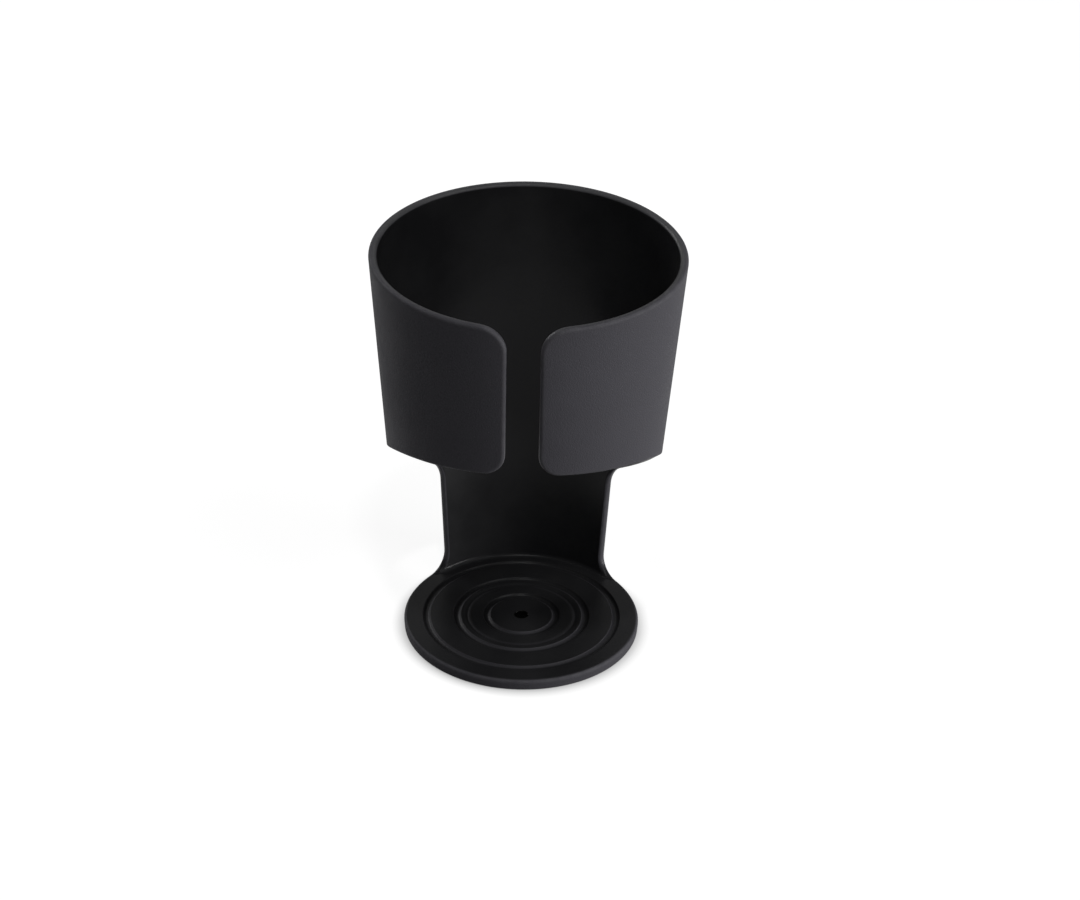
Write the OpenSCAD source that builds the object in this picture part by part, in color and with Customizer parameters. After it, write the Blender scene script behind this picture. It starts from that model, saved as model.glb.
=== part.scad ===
// Drop-in cup holder for a car: one moulding made of a foot, a spine and an open ring.
// The wall follows one cone, wider at the rim than at the foot.
// Millimetres. The foot rests on z = 0, the cone's axis is Z and the slit faces -Y.

/* [Body] */
// Outer diameter at the rim
top_d = 91.2; // [80:0.1:105]
// Outer diameter of the foot where it rests
base_d = 70; // [60:0.1:79]
// Height from the resting face to the rim
height = 126.5; // [100:0.5:170]
// Thickness of the ring and the spine, square to the wall
wall = 2.4; // [1.8:0.1:3.4]
// Rounding of the rim's two edges
rim_round = 1; // [0.3:0.1:1.5]

/* [Foot] */
// Thickness of the foot
foot_h = 3.5; // [2.6:0.1:6]
// Rounding of the foot's upper edge
foot_round = 1; // [0.3:0.1:1.2]
// Rounding of the foot's lower edge
sole_round = 0.6; // [0.2:0.1:1]
// Diameter of the hole at the centre
hole_d = 4; // [3:0.1:6]
// Outer groove, its radius as a share of the foot's radius
groove_outer = 0.814; // [0.76:0.002:0.86]
// Middle groove, its radius as a share of the foot's radius
groove_middle = 0.552; // [0.5:0.002:0.6]
// Inner groove, its radius as a share of the foot's radius
groove_inner = 0.298; // [0.24:0.002:0.34]
// Fine line inside the middle groove, as a share of the foot's radius
line_share = 0.465; // [0.42:0.002:0.48]
// Width of the three grooves
groove_w = 2.2; // [1.2:0.1:3]
// Depth of the three grooves
groove_deep = 0.7; // [0.3:0.05:1]
// Width of the fine line
line_w = 1; // [0.6:0.1:1.4]
// Depth of the fine line
line_deep = 0.25; // [0.1:0.05:0.4]

/* [Spine] */
// Angle that the spine takes up around the axis
spine_angle = 88; // [60:1:110]
// Fillet where the spine opens out into the ring
spine_top_fillet = 8.6; // [4:0.1:12]
// Fillet where the spine opens out into the foot
spine_foot_fillet = 6.2; // [3:0.1:8]
// Fillet inside, between the spine and the foot
inner_fillet = 1.2; // [0.4:0.1:2]

/* [Ring] */
// Height of the ring's lower edge at the slit, as a share of the height
edge_front = 0.61; // [0.5:0.005:0.7]
// Height of the lower edge's knee, as a share of the height
edge_knee = 0.54; // [0.42:0.005:0.62]
// Height where the lower edge meets the spine, as a share of the height
edge_back = 0.31; // [0.2:0.005:0.4]
// Distance of the knee in front of the axis, as a share of the rim's radius
knee_share = 0.18; // [0:0.01:0.4]
// Radius that rounds the knee
knee_round = 105; // [20:1:140]
// Width of the slit
slit_w = 9.7; // [5:0.1:16]
// Corner radius at the top of the slit
slit_top_round = 8; // [3:0.1:12]
// Corner radius at the bottom of the slit
slit_low_round = 7; // [3:0.1:12]

/* [Hidden] */
$fn = 180;
// Cone of the wall
top_r = top_d / 2;
base_r = base_d / 2;
slope = (top_r - base_r) / height;
lean = atan(slope);
stretch = 1 / cos(lean);
far = 2 * top_r;
// Radius of the outer and of the inner face of the wall at a height
function outer_r(z) = base_r + slope * z;
function inner_r(z) = outer_r(z) - wall * stretch;
// Rounding that the wall and the foot have room for
rim_e = min(rim_round, wall * 0.45);
foot_e = min(foot_round, foot_h * 0.4);
sole_e = min(sole_round, foot_h * 0.25);
// Lower edge of the ring, seen from the side
half = spine_angle / 2;
front_z = edge_front * height;
knee_z = edge_knee * height;
back_z = edge_back * height;
front_y = -outer_r(front_z);
knee_y = -knee_share * top_r;
back_y = outer_r(back_z) * cos(half);
front_rise = atan((front_z - knee_z) / (knee_y - front_y));
back_fall = atan((knee_z - back_z) / (back_y - knee_y));
turn = back_fall - front_rise;
front_run = norm([knee_y - front_y, front_z - knee_z]);
back_run = norm([back_y - knee_y, knee_z - back_z]);
// The knee's rounding stops short of the slit and of the spine's fillet
knee_leg = min(knee_round * tan(turn / 2), front_run * 0.7, back_run * 0.6);
knee_r = knee_leg / tan(turn / 2);
// Fillet between the ring's lower edge and the spine's side
fall_in = atan(tan(back_fall) * cos(half));
open_up = atan(sin(back_fall) * sin(half)
    / (sin(back_fall) * cos(half) * sin(fall_in) + cos(back_fall) * cos(fall_in)));
// Overlap that keeps cutting faces off the faces they cut
over = 1;
// Height inside the foot where the wall starts
root_z = foot_h / 2;
// Added to a rounding's radius, so that it crosses the faces it runs into
swell = 0.005;
// How far the foot stands out beyond the spine's outer face
proud = 0.02;

// [all, cup_holder]

// Lays a flat shape in the YZ plane and draws it out to a length along X, both ways
module along_x(length) {
    translate([-length / 2, 0, 0])
        rotate([90, 0, 90])
            linear_extrude(height = length) children();
}

// Waste outside a rounding of radius r, between two directions from its centre
module arc_waste(r, from, to) {
    mid = (from + to) / 2;
    difference() {
        polygon([
            [0, 0],
            2 * r * [cos(from), sin(from)],
            3 * r * [cos(mid), sin(mid)],
            2 * r * [cos(to), sin(to)]
        ]);
        circle(r = r + swell);
    }
}

// Half section of the foot, with its edges rounded
module foot_section() {
    top_z = foot_h - foot_e;
    low_x = outer_r(sole_e) - sole_e * stretch + proud;
    top_x = outer_r(top_z) - foot_e * stretch + proud;
    difference() {
        polygon([[0, 0], [outer_r(0) + proud, 0], [outer_r(foot_h) + proud, foot_h], [0, foot_h]]);
        translate([low_x, sole_e]) arc_waste(sole_e, -90, -lean);
        translate([top_x, top_z]) arc_waste(foot_e, -lean, 90);
    }
}

// Half section of the wall, from inside the foot to the rounded rim
module wall_section() {
    rim_z = height - rim_e;
    // Centre of the fillet inside, and the height where it touches the wall
    fillet_z = foot_h + inner_fillet;
    fillet_x = inner_r(fillet_z) - inner_fillet * stretch;
    touch_z = fillet_z - inner_fillet * sin(lean);
    difference() {
        polygon([
            [fillet_x, root_z],
            [outer_r(root_z), root_z],
            [outer_r(height), height],
            [inner_r(height), height],
            [inner_r(touch_z), touch_z],
            [fillet_x, touch_z]
        ]);
        translate([fillet_x, fillet_z]) circle(r = inner_fillet + swell);
        translate([outer_r(rim_z) - rim_e * stretch, rim_z]) arc_waste(rim_e, -lean, 90);
        translate([inner_r(rim_z) + rim_e * stretch, rim_z]) arc_waste(rim_e, 90, 180 - lean);
    }
}

// Side view of the opening under the ring, up to the ring's lower edge
module opening_side() {
    reach = far - knee_y;
    front_leg = [-knee_leg * cos(front_rise), knee_leg * sin(front_rise)];
    back_leg = [knee_leg * cos(back_fall), -knee_leg * sin(back_fall)];
    translate([knee_y, knee_z]) difference() {
        polygon([
            [0, 0],
            [-reach, reach * tan(front_rise)],
            [-reach, -knee_z],
            [knee_z / tan(back_fall), -knee_z]
        ]);
        difference() {
            polygon([
                front_leg,
                front_leg + over * [sin(front_rise), cos(front_rise)],
                [over, 2 * over],
                back_leg + over * [sin(back_fall), cos(back_fall)],
                back_leg
            ]);
            translate(front_leg - knee_r * [sin(front_rise), cos(front_rise)])
                circle(r = knee_r + swell);
        }
    }
}

// Fillet of the spine under the ring, on the side where the slit is on the right
module spine_top_corner() {
    r = spine_top_fillet;
    drop = r * (1 - sin(open_up)) / cos(open_up);
    touch = [r * (1 - sin(open_up)), r * cos(open_up) - drop];
    into = over * [-sin(open_up), cos(open_up)];
    translate([-outer_r(back_z) * sin(half), back_y, back_z])
        rotate([0, 0, 90 + half])
            rotate([0, fall_in, 0])
                along_x(8 * wall) difference() {
                    polygon([
                        [0, -drop],
                        touch,
                        touch + into,
                        [-over, over],
                        [-over, -drop]
                    ]);
                    translate([r, -drop]) circle(r = r + swell);
                }
}

// Fillet of the spine above the foot, on the same side
module spine_foot_corner() {
    r = spine_foot_fillet;
    rotate([0, 0, 90 + half])
        translate([base_r, 0, foot_h])
            along_x(8 * wall) difference() {
                translate([-over, -foot_h]) square([r + over, r + foot_h]);
                translate([r, r]) circle(r = r + swell);
            }
}

// Room that the spine takes up, with the four fillets at its ends
module spine_room() {
    spread = [far * sin(half), far * cos(half)];
    translate([0, 0, -over])
        linear_extrude(height = height)
            polygon([[0, 0], spread, [-spread[0], spread[1]]]);
    spine_top_corner();
    mirror([1, 0, 0]) spine_top_corner();
    spine_foot_corner();
    mirror([1, 0, 0]) spine_foot_corner();
}

// Rounds the lower corner of the wing to the left of the slit
module wing_low_corner() {
    r = slit_low_round;
    translate([-slit_w / 2, front_y, front_z])
        rotate([-front_rise, 0, 0])
            translate([0, 5 * wall, 0])
                rotate([90, 0, 0])
                    linear_extrude(height = 10 * wall) difference() {
                        translate([-r, -over]) square([r + over, r + over]);
                        translate([-r, r]) circle(r = r + swell);
                    }
}

// Rounds the upper corner of the wing to the left of the slit
module wing_top_corner() {
    r = slit_top_round;
    translate([-slit_w / 2, 0, height])
        rotate([90, 0, 0])
            linear_extrude(height = far) difference() {
                translate([-r, -r]) square([r + over, r + over]);
                translate([-r, -r]) circle(r = r + swell);
            }
}

// Slit at the front of the ring, with the wings' corners
module slit() {
    low = front_z - 2 * slit_low_round;
    translate([-slit_w / 2, -far, low]) cube([slit_w, far, height - low + over]);
    wing_low_corner();
    mirror([1, 0, 0]) wing_low_corner();
    wing_top_corner();
    mirror([1, 0, 0]) wing_top_corner();
}

// One round-bottomed groove in the foot's top
module groove(share, width, depth) {
    r = (width * width / 4 + depth * depth) / (2 * depth);
    rotate_extrude()
        translate([share * base_r, foot_h - depth + r]) circle(r = r);
}

// Foot with its grooves and its hole
module foot() {
    difference() {
        rotate_extrude() foot_section();
        groove(groove_outer, groove_w, groove_deep);
        groove(groove_middle, groove_w, groove_deep);
        groove(groove_inner, groove_w, groove_deep);
        groove(line_share, line_w, line_deep);
        translate([0, 0, -over]) cylinder(d = hole_d, h = foot_h + 2 * over);
    }
}

// Opening under the ring, from one side of the spine round to the other
module opening() {
    difference() {
        along_x(2 * far) opening_side();
        spine_room();
    }
}

// Spine and ring, cut from the wall
module spine_and_ring() {
    difference() {
        rotate_extrude() wall_section();
        opening();
        slit();
    }
}

// The whole moulding
module cup_holder() {
    color([0.09, 0.09, 0.1]) {
        foot();
        spine_and_ring();
    }
}

cup_holder();
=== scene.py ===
"""Looks of a drop-in cup holder: one satin black moulding on a white studio floor.

The CAD solid has square edges along the slit, the ring's lower edge and the spine. Here the
moulding is built again as one clean mesh, from the same sizes, with every edge rounded.

A place on the moulding is an angle, a height and a depth. The angle runs from the middle of
the spine towards +X, in radians. The depth is counted inwards from the outer face. Lengths are
in millimetres until a vertex is made. Only the +X half is worked out, and the other mirrors it.
"""

import math

import bmesh
import bpy
import numpy as np
from mathutils import Matrix, Vector


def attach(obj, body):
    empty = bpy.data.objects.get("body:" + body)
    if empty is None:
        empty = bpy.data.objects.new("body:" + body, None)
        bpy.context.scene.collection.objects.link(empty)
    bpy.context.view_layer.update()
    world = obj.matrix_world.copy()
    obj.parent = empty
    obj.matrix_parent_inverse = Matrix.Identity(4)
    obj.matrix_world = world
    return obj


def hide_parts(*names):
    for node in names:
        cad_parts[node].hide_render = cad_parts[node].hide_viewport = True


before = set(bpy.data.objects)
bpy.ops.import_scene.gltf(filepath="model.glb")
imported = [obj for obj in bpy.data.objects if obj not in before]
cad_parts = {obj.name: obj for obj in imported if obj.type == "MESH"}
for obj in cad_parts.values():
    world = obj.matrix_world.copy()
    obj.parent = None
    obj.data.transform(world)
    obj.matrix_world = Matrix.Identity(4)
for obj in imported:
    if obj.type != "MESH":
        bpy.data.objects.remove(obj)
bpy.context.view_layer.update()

MM = 0.001

# Body, as in the CAD source, less a hair so that the mesh stays inside the CAD solid's box
TRIM = 0.02
TOP_R = 45.6 - TRIM
BASE_R = 35.0 - TRIM
HEIGHT = 126.5
WALL = 2.4
SLOPE = (TOP_R - BASE_R) / HEIGHT
STRETCH = math.hypot(1.0, SLOPE)

# Foot
FOOT_H = 3.5
SOLE_ROUND = 0.6
HOLE_R = 2.0
HOLE_LIP = 0.25
# Each groove's radius as a share of the foot's, its width, its depth and the rounding of its lips
GROOVES = (
    (0.814, 2.2, 0.7, 0.25),
    (0.552, 2.2, 0.7, 0.25),
    (0.465, 1.0, 0.25, 3.5),
    (0.298, 2.2, 0.7, 0.25),
)
# How far outside the outer groove's middle the turned part of the foot's top begins
GROOVE_MARGIN = 2.0
# Mesh line across the underside, as a share of the foot's radius
SOLE_MIDDLE = 0.5

# Spine and its fillets
SPINE_HALF = math.radians(44.0)
TOP_FILLET = 8.6
FOOT_FILLET = 6.2
INNER_FILLET = 1.2

# Ring and its slit
EDGE_FRONT_Z = 0.61 * HEIGHT
EDGE_KNEE_Z = 0.54 * HEIGHT
EDGE_BACK_Z = 0.31 * HEIGHT
KNEE_Y = -0.18 * TOP_R
KNEE_ROUND = 105.0
SLIT_HALF = 4.85
SLIT_TOP_ROUND = 8.0
SLIT_LOW_ROUND = 7.0

# Rounding of every edge, and the strip beside it that keeps the faces' shading flat
EDGE_ROUND = 1.05
SUPPORT = 0.35
BAND = EDGE_ROUND + SUPPORT

# The lines of the ring, the spine's side and the slit run past the corners that join them.
# The ring's ends at this angle from the slit's middle, and the others go on by these lengths.
RING_SHORT = 0.08
SIDE_EXTRA = 1.0
SLIT_EXTRA = 3.0

# Tries that settle the height of the ring's lower edge at an angle
EDGE_TRIES = 12

# Smallest area, sine and other number that something is divided by or compared with
TINY_AREA = 1e-12
TINY_SINE = 1e-9
TINY = 1e-6

# Numbers of mesh steps
FINE = 400
FRONT_STEPS = 48
TIP_STEPS = 9
FLARE_STEPS = 7
ACROSS_STEPS = 14
SIDE_STEPS = 4
FILLET_STEPS = 12
RING_STEPS = 52
CORNER_STEPS = 10
SLIT_STEPS = 6
ROUND_STEPS = 6
DOWN_STEPS = 2
LIP_STEPS = 3
BOWL_STEPS = 5

# Distance in millimetres at which mesh points become one, and the shortest edge that is kept
WELD = 0.002
SHORTEST = WELD / 10
# Weight of the large faces in the shading, in per cent
FACE_WEIGHT = 50

# Colours of the moulding, each as a dark and a light tone between which it is mottled
# The inside's tones are painted darker as shade, and the outside's are the lighter, lit copy of
# the same plastic
SHADED_INSIDE_TONES = ((0.0114, 0.0114, 0.0123), (0.0160, 0.0160, 0.0169))
LIT_OUTSIDE_TONES = ((0.0478, 0.0464, 0.0534), (0.0528, 0.0513, 0.0590))
# Lighter tones of the rim's top and inner rounding: a painted highlight
RIM_HIGHLIGHT_TONES = ((0.0600, 0.0600, 0.0630), (0.0760, 0.0760, 0.0800))
# Lighter tone of the outer edges: rubbed wear, and also a painted highlight along them
RUBBED_AND_HIGHLIT_TONE = (0.080, 0.079, 0.085)
# Near-black of the hole's wall: painted shade in the hole
HOLE_SHADE_TONE = (0.003, 0.003, 0.003)

# Finish of the moulding: reflection, least and most roughness inside, and what the outside adds
SPECULAR = 0.088
SHEEN = (0.28, 0.36)
OUTER_MATT = 0.36
# Depth of the grain in metres, and the share of it that the inside keeps
GRAIN_DEPTH = 0.00011
GRAIN_INSIDE = 0.25

# Noise patterns: scale and detail
CLOUD = (60.0, 6.0)
GRAIN = (2300.0, 3.0)
PATCHES = (350.0, 5.0)

# Where each look sets in and where it is full. Facing is 1 outside, 0 on top and -1 inside.
OUTER_FACING = (0.1, 0.7)
EDGE_FACING = (-0.985, -0.9)
RIM_FACING = (0.3, -0.3)
# Heights in metres between which the ring's outer look, its grain and its lighter lit tone,
# starts above the foot
ABOVE_FOOT = (0.005, 0.008)
# Radii in metres between the grooves and the foot's edge, and how much of the outer look, with
# its lighter lit tone, the groove walls have; on the walls that face outwards it paints
# highlights on the grooves' lips
PAST_GROOVES = (0.031, 0.033)
GROOVE_SHARE = 0.6
# Distances in millimetres: down from the rim, where the painted highlight band lies, and outwards
# from the hole, where the painted shade lies
RIM_DEPTH = (0.9, 0.5)
HOLE_EDGE = (0.1, 0.3)
# Pointiness of an edge that is rubbed and painted with highlight, noise values of its patches and
# the least that is lightened
EDGE_BEND = (0.505, 0.55)
PATCH_NOISE = (0.35, 0.65)
PATCH_LEAST = 0.25
# Noise values of the sheen and of the mottling
SHEEN_NOISE = (0.3, 0.7)
MOTTLE_NOISE = (0.35, 0.65)

# Floor: grey that takes the shadow, glow that fills the picture, and the radii over which the
# glow rises from none, a painted shadow round the foot, to full
FLOOR_SIZE = 12.0
FLOOR_GREY = 0.26
FLOOR_GLOW = 0.875
PAINTED_SHADOW_FADE_START = 0.030
PAINTED_SHADOW_FADE_END = 0.040
WORLD_STRENGTH = 0.03

# Point that the lamps aim at, in metres
LAMP_AIM = Vector((0.0, 0.0, 0.06))
# Each lamp's name, azimuth and elevation in degrees, size in metres and power in watts
LAMPS = (
    ("right_low_box", 77, -0.6, (0.7, 0.09), 8.6),
    ("right_high_box", 57, 50, (0.6, 0.5), 3.9),
    ("top_box", 0, 66, (0.07, 0.07), 2.2),
    ("left_high_box", -90, 64, (0.3, 0.22), 0.6),
    ("back_left_box", -134, 20, (0.3, 0.3), 2.9),
    ("back_box", 180, 31, (0.9, 0.25), 0.6),
)

# Camera: azimuth, elevation and roll in degrees, the rest in millimetres
CAMERA_ANGLES = (0.748, 31.036, 1.318)
CAMERA_TARGET = Vector((4.506, 0.0, 61.386))
CAMERA_DISTANCE = 1069.4
CAMERA_LENS = 121.757
CAMERA_SENSOR = 36.0
# Nearest and farthest distance that the camera shows, in metres
CAMERA_CLIP = (0.05, 20.0)


def outer_radius(z):
    """Radius of the moulding's outer face at a height."""
    return BASE_R + SLOPE * z


def place(angle, z, depth):
    """Points in metres from angles, heights and depths that broadcast together."""
    angle, z, depth = np.broadcast_arrays(angle, z, depth)
    radius = outer_radius(z) - depth * STRETCH
    return np.stack([radius * np.sin(angle), radius * np.cos(angle), z], axis=-1) * MM


def ring_edge_side():
    """Side view of the ring's lower edge: height as a function of y, with the knee rounded."""
    front_y = -outer_radius(EDGE_FRONT_Z)
    back_y = outer_radius(EDGE_BACK_Z) * math.cos(SPINE_HALF)
    rise = math.atan2(EDGE_FRONT_Z - EDGE_KNEE_Z, KNEE_Y - front_y)
    fall = math.atan2(EDGE_KNEE_Z - EDGE_BACK_Z, back_y - KNEE_Y)
    leg = KNEE_ROUND * math.tan((fall - rise) / 2)
    centre_y = KNEE_Y - leg * math.cos(rise) - KNEE_ROUND * math.sin(rise)
    centre_z = EDGE_KNEE_Z + leg * math.sin(rise) - KNEE_ROUND * math.cos(rise)
    first, last = KNEE_Y - leg * math.cos(rise), KNEE_Y + leg * math.cos(fall)

    def height(y):
        front = EDGE_KNEE_Z + (KNEE_Y - y) * math.tan(rise)
        back = EDGE_KNEE_Z - (y - KNEE_Y) * math.tan(fall)
        knee = centre_z + np.sqrt(np.maximum(KNEE_ROUND**2 - (y - centre_y) ** 2, 0))
        return np.where(y < first, front, np.where(y > last, back, knee))

    return height


def ring_edge(angle):
    """Height of the ring's lower edge on the outer face at an angle."""
    height = ring_edge_side()
    z = np.full_like(angle, EDGE_KNEE_Z)
    for _ in range(EDGE_TRIES):
        z = height(outer_radius(z) * np.cos(angle))
    return z


def left_normals(flat):
    """Unit normals to the left of a flat line."""
    step = np.gradient(flat, axis=0)
    normal = np.stack([-step[:, 1], step[:, 0]], axis=1)
    return normal / np.linalg.norm(normal, axis=1, keepdims=True)


def meet(first, second):
    """Where two flat lines cross: the place along each, and the point."""
    p, r = first[:-1, None], np.diff(first, axis=0)[:, None]
    q, s = second[None, :-1], np.diff(second, axis=0)[None]
    area = r[..., 0] * s[..., 1] - r[..., 1] * s[..., 0]
    area = np.where(np.abs(area) < TINY_AREA, TINY_AREA, area)
    gap = q - p
    u = (gap[..., 0] * s[..., 1] - gap[..., 1] * s[..., 0]) / area
    v = (gap[..., 0] * r[..., 1] - gap[..., 1] * r[..., 0]) / area
    i, j = np.argwhere((u >= 0) & (u < 1) & (v >= 0) & (v < 1))[0]
    return i + u[i, j], j + v[i, j], p[i, 0] + u[i, j] * r[i, 0]


def along(line, where):
    """Points of a line at places counted in its steps."""
    steps = np.arange(len(line))
    return np.stack([np.interp(where, steps, line[:, k]) for k in range(line.shape[1])], axis=-1)


def join(first, second, radius, shares):
    """Rounds the corner from one line of (angle, z) to the next. A positive radius turns left.

    Returns where the arc starts on the first line, the arc as rows of angle, height and inward
    normal, and where it ends on the second line.
    """
    scale = np.array([outer_radius(first[-1, 1]), 1.0])
    flat = [first * scale, second * scale]
    moved = [line + radius * left_normals(line) for line in flat]
    i, j, centre = meet(*moved)
    begin, end = along(flat[0], i) - centre, along(flat[1], j) - centre
    start = math.atan2(begin[1], begin[0])
    sweep = math.remainder(math.atan2(end[1], end[0]) - start, 2 * math.pi)
    turn = start + sweep * shares
    spoke = np.stack([np.cos(turn), np.sin(turn)], axis=1)
    arc = (centre + abs(radius) * spoke) / scale
    return i, np.hstack([arc, -math.copysign(1.0, radius) * spoke]), j


def sampled(line, first, last, steps):
    """Rows of angle, height and inward normal at even steps between two places on a line."""
    scale = np.stack([outer_radius(line[:, 1]), np.ones(len(line))], axis=1)
    step = np.gradient(line, axis=0) * scale
    normal = np.stack([-step[:, 1], step[:, 0]], axis=1)
    normal /= np.linalg.norm(normal, axis=1, keepdims=True)
    return along(np.hstack([line, normal]), np.linspace(first, last, steps + 1))


def outline():
    """The +X half of the outer face's upper border, from the foot's front to the rim's back.

    The inside of the face lies to the left all the way. Each part is rows of angle, height and
    inward normal.
    """
    every = np.linspace(0, 1, FINE + 1)
    angles = math.pi - every * (math.pi - SPINE_HALF)
    foot = np.stack([angles, np.full(FINE + 1, FOOT_H)], axis=1)
    side_z = FOOT_H + every * (EDGE_BACK_Z + SIDE_EXTRA - FOOT_H)
    side = np.stack([np.full(FINE + 1, SPINE_HALF), side_z], axis=1)
    ring_angles = SPINE_HALF + every * (math.pi - RING_SHORT - SPINE_HALF)
    ring = np.stack([ring_angles, ring_edge(ring_angles)], axis=1)
    slit_z = EDGE_FRONT_Z - SLIT_EXTRA + every * (HEIGHT - EDGE_FRONT_Z + SLIT_EXTRA)
    slit = np.stack([math.pi - np.arcsin(SLIT_HALF / outer_radius(slit_z)), slit_z], axis=1)
    rim = np.stack([math.pi * (1 - every), np.full(FINE + 1, HEIGHT)], axis=1)

    # The flare's steps meet where the rounding leaves the fillet inside the foot
    split = math.acos((FOOT_FILLET - INNER_FILLET) / (FOOT_FILLET + EDGE_ROUND)) / (math.pi / 2)
    tip = np.linspace(0, split, TIP_STEPS + 1)
    flare = np.linspace(split, 1, FLARE_STEPS + 1)
    even = np.linspace(0, 1, CORNER_STEPS + 1)
    foot_shares = np.concatenate([tip, flare[1:]])
    top_shares = np.linspace(0, 1, FILLET_STEPS + 1)
    foot_end, flare_arc, side_start = join(foot, side, -FOOT_FILLET, foot_shares)
    side_end, fillet, ring_start = join(side, ring, -TOP_FILLET, top_shares)
    ring_end, low_corner, slit_start = join(ring, slit, SLIT_LOW_ROUND, even)
    slit_end, top_corner, _ = join(slit, rim, SLIT_TOP_ROUND, even)
    parts = {
        "front": sampled(foot, 0, foot_end, FRONT_STEPS),
        "tip": flare_arc[: TIP_STEPS + 1],
        "flare": flare_arc[TIP_STEPS:],
        "side": sampled(side, side_start, side_end, SIDE_STEPS),
        "fillet": fillet,
        "ring": sampled(ring, ring_start, ring_end, RING_STEPS),
        "low_corner": low_corner,
        "slit": sampled(slit, slit_start, slit_end, SLIT_STEPS),
        "top_corner": top_corner,
    }
    names = list(parts)
    for before, after in zip(names, names[1:]):
        parts[after][0] = parts[before][-1]
    return parts


def inset(part, distance):
    """Angles and heights of a part of the outline, moved inwards along the face."""
    z = part[..., 1] + distance * part[..., 3]
    return part[..., 0] + distance * part[..., 2] / outer_radius(z), z


QUARTER = np.linspace(0, math.pi / 2, ROUND_STEPS + 1)
OUTSIDE = [(EDGE_ROUND * (1 - math.sin(g)), EDGE_ROUND * (1 - math.cos(g))) for g in QUARTER]
INSIDE = [
    (EDGE_ROUND * (1 - math.cos(g)), WALL - EDGE_ROUND * (1 - math.sin(g))) for g in QUARTER
]


def rounding(part, rows):
    """Grid of points along a part of the outline, one row for each inset and depth."""
    return np.stack([place(*inset(part, distance), depth) for distance, depth in rows])


def between(low, high, shares, depth):
    """Grid of points between two lines of (angles, heights) on one face."""
    rows = []
    for share in shares:
        angle, z = (a + (b - a) * share for a, b in zip(low, high))
        rows.append(place(angle, z, depth))
    return np.stack(rows)


def extended(line, seam):
    """A line of (angles, heights) that goes on along a seam, from the seam's end to its start."""
    return tuple(np.append(ahead, back[-2::-1]) for ahead, back in zip(line, seam))


def foot_profile():
    """Radius and height of the foot's section, from outside the grooves round to the sole."""
    points = [(BASE_R * GROOVES[0][0] + GROOVE_MARGIN, FOOT_H)]
    for share, width, depth, lip in GROOVES:
        centre = share * BASE_R
        bowl = (width**2 / 4 + depth**2) / (2 * depth)
        reach = math.sqrt((bowl + lip) ** 2 - (bowl - depth + lip) ** 2)
        tilt = math.asin(reach / (bowl + lip))
        half = []
        for a in np.linspace(0, tilt, LIP_STEPS + 1):
            half.append((reach - lip * math.sin(a), -lip * (1 - math.cos(a))))
        for a in np.linspace(tilt, 0, BOWL_STEPS + 1)[1:]:
            half.append((bowl * math.sin(a), bowl - depth - bowl * math.cos(a)))
        points += [(centre + x, FOOT_H + z) for x, z in half]
        points += [(centre - x, FOOT_H + z) for x, z in reversed(half[:-1])]
    edge = [(HOLE_R + HOLE_LIP * (1 - math.sin(a)), HOLE_LIP * (1 - math.cos(a)))
            for a in np.linspace(0, math.pi / 2, LIP_STEPS + 1)]
    points += [(r, FOOT_H - z) for r, z in edge]
    points += [(r, z) for r, z in reversed(edge)]
    points += [(BASE_R * SOLE_MIDDLE, 0.0), (BASE_R - SOLE_ROUND * STRETCH, 0.0)]
    return np.array(points)


def tip_grids(tip):
    """Faces where the spine's flare runs out into the foot's top."""
    ball = EDGE_ROUND + INNER_FILLET
    fillet_z = FOOT_H + INNER_FILLET
    _, centre_z = inset(tip, EDGE_ROUND)
    reach = np.minimum((fillet_z - centre_z) / -tip[:, 3], ball)
    turn = np.arccos(reach / ball)
    spread = np.sqrt(ball**2 - reach**2)
    rows = []
    for g in np.linspace(0, 1, ROUND_STEPS + 1)[:, None] * turn:
        shift = EDGE_ROUND * (1 - np.cos(g))
        rows.append(place(*inset(tip, shift), WALL - EDGE_ROUND + EDGE_ROUND * np.sin(g)))
    over_angle, over_z = inset(tip, EDGE_ROUND - reach)
    over_depth = WALL - EDGE_ROUND + spread
    start = np.stack([tip[:, 2] * reach, tip[:, 3] * reach, -spread], axis=1) / ball
    down = np.array([0.0, -1.0, 0.0])
    sweep = np.arccos(np.clip(start @ down, -1, 1))
    for share in np.linspace(0, 1, ROUND_STEPS + 1)[1:]:
        bottom = np.maximum(np.sin(sweep), TINY_SINE)
        first = np.where(sweep < TINY, 1 - share, np.sin((1 - share) * sweep) / bottom)
        last = np.where(sweep < TINY, share, np.sin(share * sweep) / bottom)
        spoke = first[:, None] * start + last[:, None] * down
        z = over_z + INNER_FILLET * spoke[:, 1]
        angle = over_angle + INNER_FILLET * spoke[:, 0] / outer_radius(z)
        rows.append(place(angle, z, over_depth + INNER_FILLET * spoke[:, 2]))
    return np.stack(rows)


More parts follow.
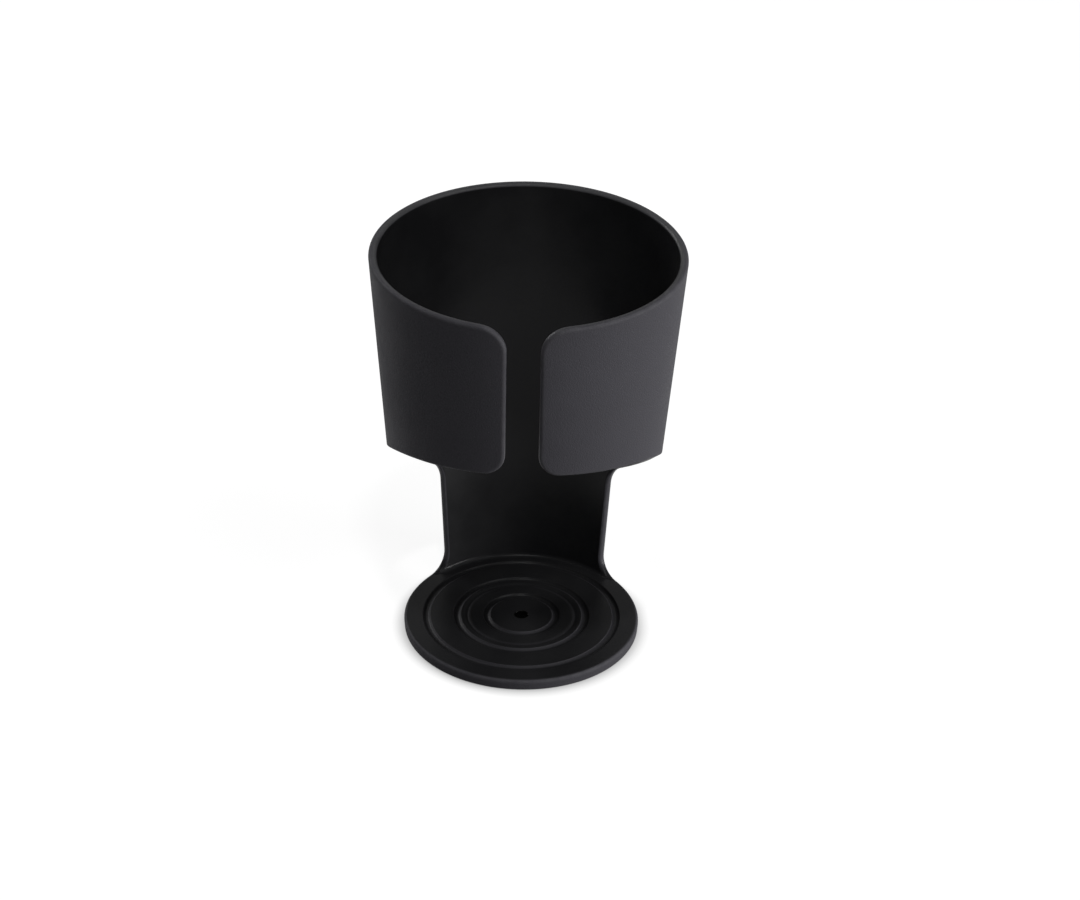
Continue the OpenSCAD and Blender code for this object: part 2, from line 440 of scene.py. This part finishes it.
def half_grids():
    """Grids of points that cover the +X half of the moulding."""
    parts = outline()
    front, tip, flare, side = (parts[n] for n in ("front", "tip", "flare", "side"))
    across = np.linspace(0, 1, ACROSS_STEPS + 1)
    grids = []

    # Columns of the ring run from its lower border to the rim
    seam = inset(side[-1], BAND)
    low_angle, low_z = across * seam[0], np.full(ACROSS_STEPS + 1, seam[1])
    for name in ("fillet", "ring"):
        angle, z = inset(parts[name], BAND)
        low_angle, low_z = np.append(low_angle, angle[1:]), np.append(low_z, z[1:])
    rim_angle = low_angle * parts["top_corner"][-1, 0] / low_angle[-1]
    rim = np.zeros((len(rim_angle), 4))
    rim[:, 0], rim[:, 1], rim[:, 3] = rim_angle[::-1], HEIGHT, -1
    corner_angle, corner_z = inset(parts["low_corner"], BAND)
    low = (np.append(low_angle, corner_angle[1:]), np.append(low_z, corner_z[1:]))
    corner_angle, corner_z = inset(parts["top_corner"][::-1], BAND)
    high_z = np.full(len(rim_angle), HEIGHT - BAND)
    high = (np.append(rim_angle, corner_angle[1:]), np.append(high_z, corner_z[1:]))
    slit_z = inset(parts["slit"], BAND)[1]
    ring_shares = (slit_z - slit_z[0]) / (slit_z[-1] - slit_z[0])

    side_z = inset(side, BAND)[1]
    side_shares = (side_z - side_z[0]) / (side_z[-1] - side_z[0])
    foot_seam = inset(side[0], BAND)
    spine_low = (across * foot_seam[0], np.full(ACROSS_STEPS + 1, foot_seam[1]))
    spine_high = (low[0][: ACROSS_STEPS + 1], low[1][: ACROSS_STEPS + 1])
    for depth in (0.0, WALL):
        ring_face = between(low, high, ring_shares, depth)
        ring_face[:, -1] = place(*inset(parts["slit"], BAND), depth)
        grids.append(ring_face)
        grids.append(between(spine_low, spine_high, side_shares, depth))

    # Roundings all the way along the border
    whole = [(BAND, 0.0), *OUTSIDE, *INSIDE, (BAND, WALL)]
    for name in ("side", "fillet", "ring", "low_corner", "slit", "top_corner"):
        grids.append(rounding(parts[name], whole))
    grids.append(rounding(rim, whole))
    flat_top = (0.0, WALL - EDGE_ROUND)
    for part in (front, tip):
        grids.append(rounding(part, [(BAND, 0.0), *OUTSIDE, flat_top]))
    grids.append(rounding(flare, whole[:-1]))

    # Outer face below the border, down to the sole and round its edge
    border = np.concatenate([front, tip[1:], flare[1:]])
    columns = extended(inset(border, BAND), spine_low)
    ends = np.full_like(columns[1], SOLE_ROUND + SUPPORT)
    sole = [(SOLE_ROUND + SUPPORT, 0.0)]
    sole += [(SOLE_ROUND * (1 - math.sin(g)), SOLE_ROUND * (1 - math.cos(g))) for g in QUARTER]
    down = np.linspace(0, 1, DOWN_STEPS + 1)
    grids.append(between(columns, (columns[0], ends), down, 0.0))
    grids.append(np.stack([place(columns[0], z, depth) for z, depth in sole]))

    # Inner face below the spine's seam, and its fillet into the foot
    fillet_z = FOOT_H + INNER_FILLET
    edge_angle, edge_z = inset(flare, EDGE_ROUND)
    room = np.maximum(edge_z - fillet_z, 0) / 2 / np.maximum(-flare[:, 3], TINY)
    support = inset(flare, EDGE_ROUND + np.minimum(SUPPORT, room))
    grids.append(np.stack([place(edge_angle, edge_z, WALL), place(*support, WALL)]))
    inner = extended(support, spine_low)
    bottom = np.full_like(inner[1], fillet_z)
    grids.append(between(inner, (inner[0], bottom), down, WALL))
    fillet = []
    for h in QUARTER:
        fillet_depth = WALL + INNER_FILLET * (1 - math.cos(h))
        fillet.append(place(inner[0], fillet_z - INNER_FILLET * math.sin(h), fillet_depth))
    grids.append(np.stack(fillet))

    # Run-out of the flare, and the foot's top up to its grooves
    run_out = tip_grids(tip)
    grids.append(run_out)
    top_edge = np.concatenate([
        place(*inset(front, 0.0), WALL - EDGE_ROUND),
        run_out[-1][1:],
        place(inner[0], FOOT_H, WALL + INNER_FILLET)[1:],
    ])
    profile = foot_profile()
    turn = columns[0]
    revolve = np.stack([
        np.stack([r * np.sin(turn), r * np.cos(turn), np.full_like(turn, z)], axis=-1) * MM
        for r, z in profile
    ])
    grids.append(np.stack([top_edge, revolve[0]]))
    grids.append(revolve)
    return grids


def build_mesh(name, grids):
    """One closed mesh from grids of points and their mirror images."""
    points, quads = [], []
    count = 0
    for mirrored in (False, True):
        for grid in grids:
            rows, columns = grid.shape[:2]
            flat = grid.reshape(-1, 3) * (np.array([-1, 1, 1]) if mirrored else 1)
            points.append(flat)
            index = count + np.arange(rows * columns).reshape(rows, columns)
            corners = (index[:-1, :-1], index[:-1, 1:], index[1:, 1:], index[1:, :-1])
            quads.append(np.stack(corners, axis=-1).reshape(-1, 4))
            count += len(flat)
    mesh = bpy.data.meshes.new(name)
    mesh.from_pydata(np.concatenate(points).tolist(), [], np.concatenate(quads).tolist())
    work = bmesh.new()
    work.from_mesh(mesh)
    bmesh.ops.remove_doubles(work, verts=work.verts, dist=WELD * MM)
    bmesh.ops.dissolve_degenerate(work, edges=work.edges, dist=SHORTEST * MM)
    bmesh.ops.recalc_face_normals(work, faces=work.faces)
    work.to_mesh(mesh)
    work.free()
    for face in mesh.polygons:
        face.use_smooth = True
    return mesh


def ranged(nodes, links, source, low, high, to_low, to_high):
    """A Map Range node's output, fed by another output."""
    node = nodes.new("ShaderNodeMapRange")
    node.inputs["From Min"].default_value = low
    node.inputs["From Max"].default_value = high
    node.inputs["To Min"].default_value = to_low
    node.inputs["To Max"].default_value = to_high
    links.new(source, node.inputs["Value"])
    return node.outputs["Result"]


def noise(nodes, links, source, scale, detail):
    """A noise pattern's value over the object."""
    node = nodes.new("ShaderNodeTexNoise")
    node.inputs["Scale"].default_value = scale
    node.inputs["Detail"].default_value = detail
    links.new(source, node.inputs["Vector"])
    return node.outputs["Fac"]


def blend(nodes, links, factor, first, second):
    """A colour between two colours, each given as three numbers or as an output."""
    node = nodes.new("ShaderNodeMix")
    node.data_type = "RGBA"
    links.new(factor, node.inputs["Factor"])
    for name, colour in (("A", first), ("B", second)):
        if isinstance(colour, tuple):
            node.inputs[name].default_value = (*colour, 1.0)
        else:
            links.new(colour, node.inputs[name])
    return node.outputs["Result"]


def vector_math(nodes, links, operation, first, second=None):
    """A Vector Math node, fed by one or two outputs."""
    node = nodes.new("ShaderNodeVectorMath")
    node.operation = operation
    links.new(first, node.inputs[0])
    if second is not None:
        links.new(second, node.inputs[1])
    return node


def from_axis(nodes, links, position):
    """The level vector from the cone's axis to a place."""
    flat = vector_math(nodes, links, "MULTIPLY", position)
    flat.inputs[1].default_value = (1.0, 1.0, 0.0)
    return flat.outputs["Vector"]


def outward(nodes, links, spoke):
    """How far the surface faces away from the cone's axis: 1 outside, 0 on top, -1 inside."""
    unit = vector_math(nodes, links, "NORMALIZE", spoke).outputs["Vector"]
    normal = nodes.new("ShaderNodeNewGeometry").outputs["Normal"]
    return vector_math(nodes, links, "DOT_PRODUCT", unit, normal).outputs["Value"]


def combined(nodes, links, operation, first, second):
    """Two values put together by a Math node."""
    node = nodes.new("ShaderNodeMath")
    node.operation = operation
    links.new(first, node.inputs[0])
    links.new(second, node.inputs[1])
    return node.outputs["Value"]


def outer_finish(nodes, links, facing, outside, height):
    """1 on the outer face and the ring's edges, and 0 inside and on the foot's flat top. It picks
    the lighter, lit tone against the darker tone that paints the inside's shade, and sets the
    grain's depth.
    """
    edges = ranged(nodes, links, facing, *EDGE_FACING, 0.0, 1.0)
    above_foot = ranged(nodes, links, height, *ABOVE_FOOT, 0.0, 1.0)
    edges = combined(nodes, links, "MULTIPLY", edges, above_foot)
    return combined(nodes, links, "MAXIMUM", outside, edges)


def rubbed_and_highlit(nodes, links, position, outer):
    """How far the outer edges are made lighter, in patches: partly rubbed wear and partly a
    painted highlight along the edges; 0 on the faces.
    """
    bend = nodes.new("ShaderNodeNewGeometry").outputs["Pointiness"]
    edges = ranged(nodes, links, bend, *EDGE_BEND, 0.0, 1.0)
    edges = combined(nodes, links, "MULTIPLY", edges, outer)
    patches = noise(nodes, links, position, *PATCHES)
    patches = ranged(nodes, links, patches, *PATCH_NOISE, PATCH_LEAST, 1.0)
    return combined(nodes, links, "MULTIPLY", edges, patches)


def moulded_black():
    """Black moulded plastic: finely grained outside and smoother inside, with the inside painted
    darker as shade and the outside lighter as lit.
    """
    material = bpy.data.materials.new("moulded_black")
    material.use_nodes = True
    tree = material.node_tree
    nodes, links = tree.nodes, tree.links
    shader = nodes["Principled BSDF"]
    shader.inputs["Specular IOR Level"].default_value = SPECULAR
    position = nodes.new("ShaderNodeTexCoord").outputs["Object"]
    axes = nodes.new("ShaderNodeSeparateXYZ")
    links.new(position, axes.inputs["Vector"])
    height = axes.outputs["Z"]
    spoke = from_axis(nodes, links, position)
    facing = outward(nodes, links, spoke)
    outside = ranged(nodes, links, facing, *OUTER_FACING, 0.0, 1.0)
    radius = vector_math(nodes, links, "LENGTH", spoke).outputs["Value"]
    past_grooves = ranged(nodes, links, radius, *PAST_GROOVES, GROOVE_SHARE, 1.0)
    outside = combined(nodes, links, "MULTIPLY", outside, past_grooves)
    outer = outer_finish(nodes, links, facing, outside, height)
    cloud = noise(nodes, links, position, *CLOUD)

    grain = nodes.new("ShaderNodeBump")
    grain.inputs["Distance"].default_value = GRAIN_DEPTH
    links.new(noise(nodes, links, position, *GRAIN), grain.inputs["Height"])
    relief = ranged(nodes, links, outer, 0.0, 1.0, GRAIN_INSIDE, 1.0)
    links.new(relief, grain.inputs["Strength"])
    links.new(grain.outputs["Normal"], shader.inputs["Normal"])

    sheen = ranged(nodes, links, cloud, *SHEEN_NOISE, *SHEEN)
    matt = ranged(nodes, links, outside, 0.0, 1.0, 0.0, OUTER_MATT)
    links.new(combined(nodes, links, "ADD", sheen, matt), shader.inputs["Roughness"])

    mottle = ranged(nodes, links, cloud, *MOTTLE_NOISE, 0.0, 1.0)
    # Painted shade: the inside takes the darker tone, the outside the lighter, lit one
    smooth = blend(nodes, links, mottle, *SHADED_INSIDE_TONES)
    lit_outside = blend(nodes, links, mottle, *LIT_OUTSIDE_TONES)
    tone = blend(nodes, links, outer, smooth, lit_outside)
    # Lighter outer edges: rubbed wear and a painted highlight
    tone = blend(nodes, links, rubbed_and_highlit(nodes, links, position, outer), tone, RUBBED_AND_HIGHLIT_TONE)
    # Painted highlight: a lighter band on the rim's top and its inner rounding
    low, high = ((HEIGHT - depth) * MM for depth in RIM_DEPTH)
    rim = ranged(nodes, links, height, low, high, 0.0, 1.0)
    inner = ranged(nodes, links, facing, *RIM_FACING, 0.0, 1.0)
    rim_highlight = blend(nodes, links, mottle, *RIM_HIGHLIGHT_TONES)
    rim_highlight_mask = combined(nodes, links, "MULTIPLY", rim, inner)
    tone = blend(nodes, links, rim_highlight_mask, tone, rim_highlight)
    # Painted shade: the hole's wall is made near-black
    near, far = ((HOLE_R + distance) * MM for distance in HOLE_EDGE)
    hole_shade = ranged(nodes, links, radius, near, far, 1.0, 0.0)
    tone = blend(nodes, links, hole_shade, tone, HOLE_SHADE_TONE)
    links.new(tone, shader.inputs["Base Color"])
    return material


def seen_directly(nodes, links):
    """Output that is 1 for camera, glossy and transmission rays, and 0 for the rest."""
    path = nodes.new("ShaderNodeLightPath")
    either = path.outputs["Is Camera Ray"]
    for kind in ("Is Glossy Ray", "Is Transmission Ray"):
        largest = nodes.new("ShaderNodeMath")
        largest.operation = "MAXIMUM"
        links.new(either, largest.inputs[0])
        links.new(path.outputs[kind], largest.inputs[1])
        either = largest.outputs["Value"]
    return either


def white_floor():
    """White floor that keeps the object's soft shadow and fills the picture with white, with its
    glow faded out round the foot as a painted contact shadow.
    """
    material = bpy.data.materials.new("studio_white")
    material.use_nodes = True
    tree = material.node_tree
    nodes, links = tree.nodes, tree.links
    nodes.remove(nodes["Principled BSDF"])
    cloth = nodes.new("ShaderNodeBsdfDiffuse")
    cloth.inputs["Color"].default_value = (FLOOR_GREY, FLOOR_GREY, FLOOR_GREY, 1.0)
    glow = nodes.new("ShaderNodeEmission")
    position = nodes.new("ShaderNodeTexCoord").outputs["Object"]
    # Painted shadow: the glow fades out round the foot, so the floor darkens there
    radius = vector_math(nodes, links, "LENGTH", position).outputs["Value"]
    past_painted_shadow = ranged(nodes, links, radius, PAINTED_SHADOW_FADE_START, PAINTED_SHADOW_FADE_END, 0.0, 1.0)
    past_painted_shadow.node.interpolation_type = "SMOOTHSTEP"
    strength = combined(nodes, links, "MULTIPLY", seen_directly(nodes, links), past_painted_shadow)
    links.new(strength, glow.inputs["Strength"])
    glow.inputs["Color"].default_value = (FLOOR_GLOW, FLOOR_GLOW, FLOOR_GLOW, 1.0)
    total = nodes.new("ShaderNodeAddShader")
    links.new(cloth.outputs["BSDF"], total.inputs[0])
    links.new(glow.outputs["Emission"], total.inputs[1])
    links.new(total.outputs["Shader"], nodes["Material Output"].inputs["Surface"])
    return material


def softbox(name, azimuth, elevation, size, power):
    """A rectangular lamp that points at the object from a metre away.

    The azimuth runs from the front towards +X, in degrees.
    """
    data = bpy.data.lights.new(name, "AREA")
    data.shape = "RECTANGLE"
    data.size, data.size_y = size
    data.energy = power
    lamp = bpy.data.objects.new(name, data)
    bpy.context.scene.collection.objects.link(lamp)
    across, up = math.radians(azimuth), math.radians(elevation)
    away = Vector((
        math.sin(across) * math.cos(up),
        -math.cos(across) * math.cos(up),
        math.sin(up),
    ))
    lamp.location = LAMP_AIM + away
    lamp.rotation_mode = "QUATERNION"
    lamp.rotation_quaternion = away.to_track_quat("Z", "Y")


def make_camera():
    """Camera at the photograph's angle: it looks down from the front, with a slight roll."""
    azimuth, elevation, roll = (math.radians(a) for a in CAMERA_ANGLES)
    towards = Vector((
        math.sin(azimuth) * math.cos(elevation),
        -math.cos(azimuth) * math.cos(elevation),
        math.sin(elevation),
    ))
    level = Vector((math.cos(azimuth), math.sin(azimuth), 0.0))
    upright = towards.cross(level)
    right = level * math.cos(roll) + upright * math.sin(roll)
    up = upright * math.cos(roll) - level * math.sin(roll)
    data = bpy.data.cameras.new("camera")
    data.sensor_width = CAMERA_SENSOR
    data.lens = CAMERA_LENS
    data.clip_start, data.clip_end = CAMERA_CLIP
    camera = bpy.data.objects.new("camera", data)
    bpy.context.scene.collection.objects.link(camera)
    turn = Matrix((right, up, towards)).transposed()
    eye = (CAMERA_TARGET + towards * CAMERA_DISTANCE) * MM
    camera.matrix_world = Matrix.Translation(eye) @ turn.to_4x4()
    bpy.context.scene.camera = camera


def make_studio():
    """Floor, soft lamps and a white surround."""
    bpy.ops.mesh.primitive_plane_add(size=FLOOR_SIZE, location=(0.0, 0.0, 0.0))
    floor = bpy.context.object
    floor.name = "studio_floor"
    floor.data.materials.append(white_floor())
    for lamp in LAMPS:
        softbox(*lamp)

    world = bpy.data.worlds.new("studio")
    bpy.context.scene.world = world
    world.use_nodes = True
    back = world.node_tree.nodes["Background"]
    back.inputs["Color"].default_value = (1.0, 1.0, 1.0, 1.0)
    back.inputs["Strength"].default_value = WORLD_STRENGTH
    bpy.context.scene.view_settings.view_transform = "Standard"


def make_holder():
    """The moulding, which stands in for the CAD node cup_holder; that node is hidden."""
    mesh = build_mesh("moulding", half_grids())
    holder = bpy.data.objects.new("moulding", mesh)
    bpy.context.scene.collection.objects.link(holder)
    mesh.materials.append(moulded_black())
    smooth = holder.modifiers.new("even_shading", "WEIGHTED_NORMAL")
    smooth.keep_sharp = False
    smooth.weight = FACE_WEIGHT
    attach(holder, "root")
    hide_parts("cup_holder")


make_camera()
make_studio()
make_holder()
